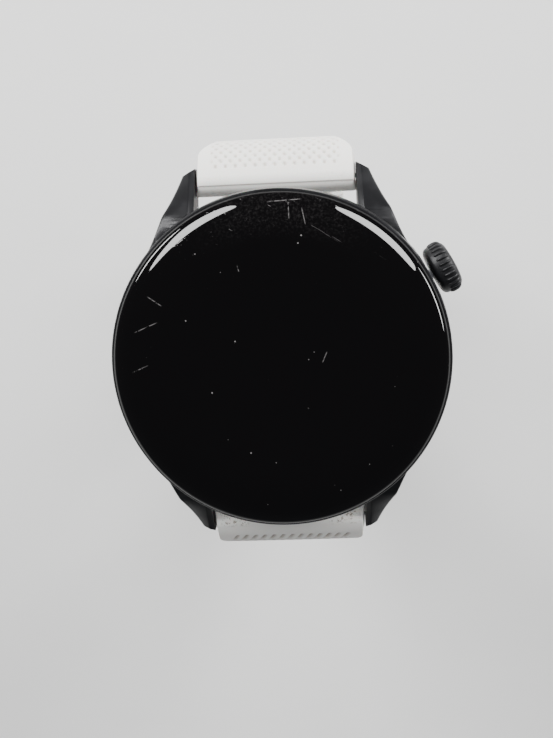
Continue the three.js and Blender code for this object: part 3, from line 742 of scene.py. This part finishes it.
# ---- Crown and button ----
def make_crown():
    """A rounded barrel with a ring of soft ridges set toward its outer end."""
    crown = bpy.context.scene.watch_crown
    face, end, r = CROWN_FACE, CROWN_END, crown.radius
    barrel = smooth([(2.0, face), (2.75, face + 0.1), (3.22, face + 0.42), (3.38, face + 0.95),
                     (3.4, face + 1.6), (3.36, end - 0.95), (3.16, end - 0.42), (2.75, end - 0.1),
                     (2.0, end)], 5)
    outline = [(0, face + 1.95), (0.9, face + 1.95), (0.9, face)] + barrel + [(0, end)]
    core = plain(spun(outline, 112), "crown_core")
    profile = [(z, out) for out, z in barrel]
    ridge = [(-1.0, 0.42), (-0.66, 0.12), (-0.25, 0.0), (0.25, 0.0), (0.66, 0.12), (1.0, 0.42), (0.7, 0.9),
             (-0.7, 0.9)]
    sections = []
    half = pi * r / crown.ridges * 0.62
    steps = 16
    for i in range(steps + 1):
        t = i / steps
        height = sqrt(max(0.0, 1 - abs(2 * t - 1) ** 3))
        z = face + 0.95 + (end - face - 1.25) * t
        peak = value_on(profile, z) - 0.12 + (r - 3.28) * height
        sections.append([(peak - sunk, share * half * (0.45 + 0.55 * height), z) for share, sunk in ridge])
    unit = plain(lofted(sections), "ridge")
    ridges = repeated("crown_ridge_ring", unit, {"count": crown.ridges, "radius": 0.0, "start": 0.0,
                                                 "finish": "crown_coating"})
    combine(core, [ridges], "UNION")
    settle(core, "crown_coating", "crown", "black_steel", "crown_head", crease=50,
           turn=CROWN_TURN @ LATHE_TO_X)


def make_button():
    """A pill whose face follows the case's curve, on its stem."""
    half_length, half_height, face = 3.45, 1.5, BUTTON_FACE
    outline = rounded_box(half_length, half_height, half_height - 0.01, 10)
    rounding = ((0, 22.25), (0, 23.0), (0.05, 23.2), (0.14, 23.36), (0.3, 23.48), (0.6, 23.57), (1.0, 23.62))
    rows = []
    for inset, depth in rounding:
        shrink = (half_length - inset) / half_length, (half_height - inset) / half_height
        row = []
        for y, z in outline:
            y, z = y * shrink[0], z * shrink[1]
            reach = sqrt(face ** 2 - y * y) - face
            row.append((depth + (reach if depth > 22.5 else 0), y, z))
        rows.append(row)
    cap = plain(lofted(rows), "pill_button")
    stem = pin_tool(0.7, 18.65, 22.6, Matrix.Identity(4), "stem")
    combine(cap, [stem], "UNION")
    settle(cap, "black_steel", "button", "black_steel", "side_button", crease=40, turn=BUTTON_TURN)


# ---- Strap ----
class StrapLine:
    """The path of one strap half: straight runs and bends, as in the hinge plane."""

    def __init__(self, side, leaving, legs):
        self.side = side
        self.spans = []
        u, z, heading, start = BAR_Y, BAR_Z, radians(leaving), 0.0
        for length, radius in legs:
            self.spans.append((start, length, radius, u, z, heading))
            u, z, heading = self._along((start, length, radius, u, z, heading), length)
            start += length
        self.total = start

    @staticmethod
    def _along(span, run):
        _, _, radius, u, z, heading = span
        if not radius:
            return u + run * cos(heading), z + run * sin(heading), heading
        end = heading - run / radius
        return (u + radius * (sin(heading) - sin(end)), z - radius * (cos(heading) - cos(end)), end)

    def at(self, s):
        span = [each for each in self.spans if each[0] <= s][-1] if s > 0 else self.spans[0]
        return self._along(span, s - span[0])

    def point(self, x, s, out):
        u, z, heading = self.at(s)
        return (x, self.side * (u - out * sin(heading)), z + out * cos(heading))

    def frame_at(self, s):
        """Across, along and away from the wrist at s."""
        u, z, heading = self.at(s)
        along = Vector((0, self.side * cos(heading), sin(heading)))
        out = Vector((0, -self.side * sin(heading), cos(heading)))
        turn = Matrix((along.cross(out), along, out)).transposed().to_4x4()
        return Matrix.Translation((0, self.side * u, z)) @ turn


def bend(radius, degrees):
    return radius * radians(degrees), radius


BUCKLE_LINE = StrapLine(1, -22, [(0.4, 0), bend(5.6, 64), (24, 0), bend(40, 26), (22.5, 0)])
TAIL_LINE = StrapLine(-1, -29, [(0.4, 0), bend(5.6, 51), (28.5, 0), bend(45, 60), (24.5, 0)])
BUCKLE_S = BUCKLE_LINE.total - 2
LUG_END_THICK = 4.2
STRAP_THIN = 2.4
HEEL = 2.1
BEND_END = 10
FIRST_ROW = 2.3
ROW_PITCH = 1.24


def ease(value, low, high):
    """Rises smoothly from 0 to 1 as the value goes from low to high."""
    t = max(0.0, min(1.0, (value - low) / (high - low)))
    return t * t * (3 - 2 * t)


def strap_thickness(s):
    return LUG_END_THICK + (STRAP_THIN - LUG_END_THICK) * ease(s, 1, 22)


def strap_width(line, s):
    """The strap narrows as it drops from 1 mm to 15 mm below the back."""
    strap = bpy.context.scene.watch_strap
    return strap.width + (strap.narrow - strap.width) * ease(-line.at(s)[1], 1, 15)


def relief(x, s, half, total, dashed):
    """What is cut into the outer face: a step at the parting line, and the share of a slanted dimple."""
    strap = bpy.context.scene.watch_strap
    parting_line, parting_depth, margin = -1.34, 0.12, 2.2
    step = parting_depth * (1 - ease(s, parting_line - 0.06, parting_line + 0.06))
    edge = ease(half - abs(x), margin - 0.1, margin + 0.1)
    row = (s - FIRST_ROW) / ROW_PITCH
    column = x / strap.pitch
    wave = 0.64 * cos(2 * pi * (column + row)) + 0.36 * cos(2 * pi * (column - row))
    dimple = edge * ease(s, 0.7, 0.8) * ease(total - s, 2.5, 3.2) * ease(wave, 0.25, 0.85)
    if dashed and s < 3.0:
        slant = cos(2 * pi * (column + (s - FIRST_ROW) / 2.2))
        dimple = 1.3 * edge * ease(slant, 0.15, 0.75) * ease(s, 1.65, 1.8) * ease(-s, -2.95, -2.8)
    return step, dimple


def strap_stations(total):
    """Places along the strap: close together over the heel and the bend, and evenly spaced after it."""
    stations = [-HEEL + 0.7 * (1 - cos(pi / 2 * k / 6)) for k in range(6)]
    stations += [-1.42 + 0.04 * k for k in range(5)] + [-1.2 + 0.12 * k for k in range(10)]
    stations += [BEND_END * k / 76 for k in range(76)]
    fine = round((total - BEND_END) / 0.25)
    return stations + [BEND_END + (total - BEND_END) * k / fine for k in range(fine + 1)]


def strap_blank(line, name, tip_length=0.0):
    """The strap as one skin: a finely divided outer face, bevelled shoulders and a plain inside."""
    total = line.total
    across = 108
    depth = bpy.context.scene.watch_strap.relief
    sections, dimple_shades = [], []
    for s in strap_stations(total):
        half = strap_width(line, s) / 2
        if tip_length and total - s < tip_length:
            share = 1 - (total - s) / tip_length
            half = max(0.8, half * sqrt(max(0.0, 1 - share * share)))
        thick = strap_thickness(max(s, 0.0))
        if s < 0:
            thick *= max(0.12, sqrt(max(0.0, 1 - (s / HEEL) ** 2)))
        elif total - s < 0.8:
            thick *= 0.62 + 0.38 * sqrt(max(0.0, 1 - (1 - (total - s) / 0.8) ** 2))
        shoulder = min(2.1 * (thick / 3.9) * ease(s, 2.4, 6.2) + 0.4, half * 0.5)
        drop = thick * 0.52
        top, pits = [], []
        for k in range(across + 1):
            x = -half + shoulder + (2 * half - 2 * shoulder) * k / across
            crown = 0.05 * (1 - (x / half) ** 2)
            step, pit = relief(x, s, half, total, line.side < 0)
            top.append((x, thick / 2 - 0.05 + crown - min(step + pit * depth, thick * 0.3)))
            pits.append(pit)
        sunk = min(step, thick * 0.3)
        side = []
        for k in range(1, 8):
            turn, run = pi / 2 * k / 7, k / 7
            side.append((shoulder * (0.4 * (1 - sin(turn)) + 0.6 * (1 - run)),
                         drop * (0.4 * (1 - cos(turn)) + 0.6 * run)))
        right = [(half - a, thick / 2 - 0.05 - d - sunk * (1 - d / drop)) for a, d in side]
        foot = min(0.5, thick * 0.25)
        under = [(half - foot + foot * cos(pi / 2 * k / 4), -thick / 2 + foot - foot * sin(pi / 2 * k / 4))
                 for k in range(5)]
        below = [((half - foot) * (1 - 2 * k / 12), -thick / 2) for k in range(1, 12)]
        left_under = [(-x, z) for x, z in reversed(under)]
        left = [(-x, z) for x, z in reversed(right)]
        section = top + right + under + below + left_under + left
        sections.append([line.point(x, s, out) for x, out in section])
        dimple_shades += pits + [0.0] * (len(section) - len(pits))
    mesh_data = lofted(sections)
    # Each vertex stores its dimple share, which the silicone material uses to paint shade into the dimples.
    layer = mesh_data.verts.layers.float.new("dimple_shade")
    for vert, share in zip(mesh_data.verts, dimple_shades):
        vert[layer] = share
    return plain(mesh_data, name)


def lug_end_tools(line):
    """The bore for the spring bar's sleeve, and the window for its release knob."""
    side = line.side
    bore = pin_tool(0.95, -12, 12, Matrix.Translation((0, side * BAR_Y, BAR_Z)), "sleeve_bore", 28)
    window = plain(slab(rounded_box(2.0, 0.9, 0.3, 3), -3, 0,
                        line.frame_at(0) @ Matrix.Translation((-6.4 * side, 0, 0))), "knob_window")
    return [bore, window]


def make_buckle_half():
    strap = strap_blank(BUCKLE_LINE, "buckle_side_strap")
    at_bar = BUCKLE_LINE.frame_at(BUCKLE_S)
    tools = lug_end_tools(BUCKLE_LINE) + [
        pin_tool(0.8, -12, 12, at_bar, "bar_bore", 28),
        plain(slab(rounded_box(1.5, 3.3, 0.5, 4), -3, 3, at_bar @ Matrix.Translation((0, 0.7, 0))),
              "tongue_slot"),
    ]
    combine(strap, tools, "DIFFERENCE")
    settle(strap, "silicone", "buckle_half", "silicone", "buckle_strap", crease=48)


def make_tail_half():
    strap = strap_blank(TAIL_LINE, "tail_side_strap", tip_length=6.5)
    tools = lug_end_tools(TAIL_LINE)
    holes, first_from_tip, pitch = 7, 21, 6.2
    for i in range(holes):
        spot = TAIL_LINE.frame_at(TAIL_LINE.total - first_from_tip - i * pitch)
        tools.append(plain(slab(rounded_box(0.95, 1.6, 0.94, 6), -3, 3, spot), "hole"))
    combine(strap, tools, "DIFFERENCE")
    settle(strap, "silicone", "tail_half", "silicone", "tail_strap", crease=48)


# ---- Keepers and buckle ----
def make_keeper(name, s, body, node):
    """A soft band: its section is swept round a rounded rectangle."""
    low, high, inner, wall, middle, half_width = -1.4, 4.1, 9.8, 1.1, 2.25, 2.24
    mid_x, mid_z = inner + wall / 2, (high - low) / 2 + wall / 2
    centre = (high + low) / 2
    path = rounded_box(mid_x, mid_z, 0.75, 6)
    sections = []
    for i, (x, z) in enumerate(path):
        px, pz = path[i - 1]
        nx, nz = path[(i + 1) % len(path)]
        normal = Vector((nz - pz, 0, px - nx)).normalized()
        section = []
        for a, b in rounded_box(wall / 2 - 0.01, half_width, 0.42, 4):
            section.append(Vector((x, middle + b, z + centre)) + normal * a)
        sections.append(section)
    mesh_data = bmesh.new()
    rows = [[mesh_data.verts.new(p) for p in section] for section in sections]
    count = len(rows[0])
    for i, row in enumerate(rows):
        other = rows[(i + 1) % len(rows)]
        for k in range(count):
            n = (k + 1) % count
            mesh_data.faces.new((row[k], row[n], other[n], other[k]))
    mesh_data.transform(BUCKLE_LINE.frame_at(s))
    settle(plain(mesh_data, name), "silicone", body, "silicone", node)


def make_buckle():
    """The buckle's frame, its tongue and the bar they turn on."""
    at_bar = BUCKLE_LINE.frame_at(BUCKLE_S)
    outer = rounded_box(11.6, 6.55, 2.0, 8)
    frame_part = plain(slab(outer, -1.1, 1.1, Matrix.Translation((0, 4.85, 0))), "buckle_loop")
    gap = plain(slab(rounded_box(9.9, 6.15, 0.8, 6), -3, 3, Matrix.Translation((0, 3.15, 0))), "gap")
    bore = pin_tool(0.78, -15, 15, Matrix.Identity(4), "bore", 28)
    notch = plain(slab(rounded_box(1.15, 2.2, 0.2, 3), 0.55, 3, Matrix.Translation((0, 10.4, 0))), "notch")
    combine(frame_part, [gap, bore, notch], "DIFFERENCE")
    soften(frame_part, 0.3, 3, 40)
    settle(frame_part, "polished_steel", "buckle", "polished_steel", "buckle_frame", crease=40, turn=at_bar)
    arm = [(0, 0.82), (1.2, 0.72), (2.2, 0.6), (11.4, 0.6), (11.75, 0.75), (11.9, 0.95), (11.8, 1.25),
           (11.4, 1.5), (2.2, 1.6), (1.0, 1.58), (0, 1.5)]
    blade = plain(slab(arm, -1, 1, ALONG_X), "tongue_blade")
    eye = plain(spun([(0.78, -1), (1.55, -1), (1.55, 1), (0.78, 1)], 40, LATHE_TO_X), "eye")
    combine(blade, [eye], "UNION")
    soften(blade, 0.16, 3, 40)
    settle(blade, "polished_steel", "tongue", "polished_steel", "buckle_tongue", crease=40, turn=at_bar)
    bar = filleted([(0, -11.4), (0.7, -11.4, 0.15), (0.7, 11.4, 0.15), (0, 11.4)], 0.1, 4)
    settle(plain(spun(bar, 32, at_bar @ LATHE_TO_X), "buckle_axle"), "polished_steel", "buckle_half",
           "polished_steel", "buckle_bar")


def dress_cad_nodes():
    """Gives every CAD node that still shows its own procedural finish."""
    for part in frame["record"]["subparts"]:
        node = frame["nodes"][part["node"]]
        for place in node.material_slots:
            place.material = FINISHES[part["material_slot"]]


# ---- Stage ----
def make_stage():
    stage = bpy.context.scene.watch_stage
    scene = bpy.context.scene
    floor_gap = 0.4
    mesh_data = bmesh.new()
    bmesh.ops.create_grid(mesh_data, x_segments=1, y_segments=1, size=3.0)
    floor_mesh = bpy.data.meshes.new("floor")
    mesh_data.to_mesh(floor_mesh)
    mesh_data.free()
    floor = bpy.data.objects.new("floor", floor_mesh)
    floor.location.z = CAD_BOX[0][2] - floor_gap * MM
    scene.collection.objects.link(floor)
    paint = Paint("pale_floor")
    color = tuple(stage.floor_color)
    fibre = paint.noise(0.05, 3.0)
    tone = paint.mix(fibre, tuple(c * 0.97 for c in color), color)
    floor_mesh.materials.append(paint.finish(tone, 0.7 + fibre * 0.1, 0.0, paint.bump(fibre, 0.2)))
    camera_data = bpy.data.cameras.new("camera")
    camera_data.sensor_width = 36.0
    camera_data.lens = stage.focal
    camera_data.clip_start = 0.005
    camera = bpy.data.objects.new("camera", camera_data)
    camera.location = Vector((5.589, 19.867, 130.063)) * MM
    camera.rotation_euler = (radians(-10.015), radians(2.553), radians(-2.483))
    scene.collection.objects.link(camera)
    scene.camera = camera

    def lamp(name, where, width, height, watts, mirrored=True):
        data = bpy.data.lights.new(name, "AREA")
        data.shape = "ELLIPSE"
        data.size, data.size_y = width, height
        data.energy = watts
        light = bpy.data.objects.new(name, data)
        light.location = where
        light.rotation_euler = (-Vector(where)).to_track_quat("-Z", "Y").to_euler()
        light.visible_glossy = mirrored
        scene.collection.objects.link(light)

    power = stage.key_power
    lamp("left_strip", (-0.34, 0.40, 0.34), 0.42, 0.15, power * 2.4)
    lamp("right_strip", (0.38, 0.40, 0.33), 0.42, 0.15, power * 2.4)
    lamp("left_low_strip", (-0.42, 0.30, 0.13), 0.24, 0.05, power * 0.6)
    lamp("right_low_strip", (0.50, 0.12, 0.16), 0.24, 0.05, power * 0.6)
    lamp("overhead", (0.0, 0.22, 0.85), 0.6, 0.6, stage.fill_power, mirrored=False)
    world = bpy.data.worlds.new("soft_room")
    scene.world = world
    world.use_nodes = True
    background = world.node_tree.nodes["Background"]
    background.inputs["Color"].default_value = (0.9, 0.92, 1.0, 1.0)
    background.inputs["Strength"].default_value = 0.15


# ---- Operators, in the order they run ----
class WATCH_OT_finishes(bpy.types.Operator):
    """Makes every material."""
    bl_idname = "watch.finishes"
    bl_label = "Finishes"

    def execute(self, context):
        make_finishes()
        return {"FINISHED"}


class WATCH_OT_stage(bpy.types.Operator):
    """Makes the floor, the lights and the camera."""
    bl_idname = "watch.stage"
    bl_label = "Stage"

    def execute(self, context):
        make_stage()
        return {"FINISHED"}


class WATCH_OT_case(bpy.types.Operator):
    """Makes the case with its four lugs."""
    bl_idname = "watch.case"
    bl_label = "Case"

    def execute(self, context):
        make_case()
        return {"FINISHED"}


class WATCH_OT_glass(bpy.types.Operator):
    """Makes the cover glass and the back crystal."""
    bl_idname = "watch.glass"
    bl_label = "Glass"

    def execute(self, context):
        make_glass()
        return {"FINISHED"}


class WATCH_OT_rear_cover(bpy.types.Operator):
    """Makes the plate round the back crystal."""
    bl_idname = "watch.rear_cover"
    bl_label = "Rear Cover"

    def execute(self, context):
        make_rear_cover()
        return {"FINISHED"}


class WATCH_OT_screws(bpy.types.Operator):
    """Makes the four screws in the back."""
    bl_idname = "watch.screws"
    bl_label = "Back Screws"

    def execute(self, context):
        make_screws()
        return {"FINISHED"}


class WATCH_OT_crown(bpy.types.Operator):
    """Makes the ridged crown."""
    bl_idname = "watch.crown"
    bl_label = "Crown"

    def execute(self, context):
        make_crown()
        return {"FINISHED"}


class WATCH_OT_button(bpy.types.Operator):
    """Makes the side button."""
    bl_idname = "watch.button"
    bl_label = "Side Button"

    def execute(self, context):
        make_button()
        return {"FINISHED"}


class WATCH_OT_buckle_half(bpy.types.Operator):
    """Makes the strap half that holds the buckle."""
    bl_idname = "watch.buckle_half"
    bl_label = "Buckle Half"

    def execute(self, context):
        make_buckle_half()
        return {"FINISHED"}


class WATCH_OT_tail_half(bpy.types.Operator):
    """Makes the strap half with the holes."""
    bl_idname = "watch.tail_half"
    bl_label = "Tail Half"

    def execute(self, context):
        make_tail_half()
        return {"FINISHED"}


class WATCH_OT_keepers(bpy.types.Operator):
    """Makes the two loops that hold the tail."""
    bl_idname = "watch.keepers"
    bl_label = "Keepers"

    def execute(self, context):
        make_keeper("fixed_strap_loop", BUCKLE_S - FIXED_KEEPER_BACK, "buckle_half", "fixed_keeper")
        make_keeper("sliding_strap_loop", BUCKLE_S - FREE_KEEPER_BACK, "keeper", "free_keeper")
        return {"FINISHED"}


class WATCH_OT_buckle(bpy.types.Operator):
    """Makes the buckle, its tongue and its bar."""
    bl_idname = "watch.buckle"
    bl_label = "Buckle"

    def execute(self, context):
        make_buckle()
        return {"FINISHED"}


class WATCH_OT_inner_finishes(bpy.types.Operator):
    """Gives the pieces inside their finishes."""
    bl_idname = "watch.inner_finishes"
    bl_label = "Inner Finishes"

    def execute(self, context):
        dress_cad_nodes()
        return {"FINISHED"}


OPERATORS = [
    WATCH_OT_finishes, WATCH_OT_stage, WATCH_OT_case, WATCH_OT_glass, WATCH_OT_rear_cover, WATCH_OT_screws,
    WATCH_OT_crown, WATCH_OT_button, WATCH_OT_buckle_half, WATCH_OT_tail_half, WATCH_OT_keepers,
    WATCH_OT_buckle, WATCH_OT_inner_finishes,
]


class WATCH_PT_pieces(bpy.types.Panel):
    """Lists the watch's pieces."""
    bl_label = "Round Smartwatch"
    bl_space_type = "VIEW_3D"
    bl_region_type = "UI"
    bl_category = "Watch"

    def draw(self, context):
        for one in OPERATORS:
            self.layout.operator(one.bl_idname)


GROUPS = {"watch_case": CaseSizes, "watch_crown": CrownSizes, "watch_strap": StrapSizes,
          "watch_stage": StageSizes}


def register():
    for one in (*GROUPS.values(), *OPERATORS, WATCH_PT_pieces):
        bpy.utils.register_class(one)
    for name, group in GROUPS.items():
        setattr(bpy.types.Scene, name, PointerProperty(type=group))


def unregister():
    for name in GROUPS:
        delattr(bpy.types.Scene, name)
    for one in reversed((*GROUPS.values(), *OPERATORS, WATCH_PT_pieces)):
        bpy.utils.unregister_class(one)


def main():
    register()
    for one in OPERATORS:
        group, name = one.bl_idname.split(".")
        getattr(getattr(bpy.ops, group), name)()


if __name__ == "__main__":
    main()
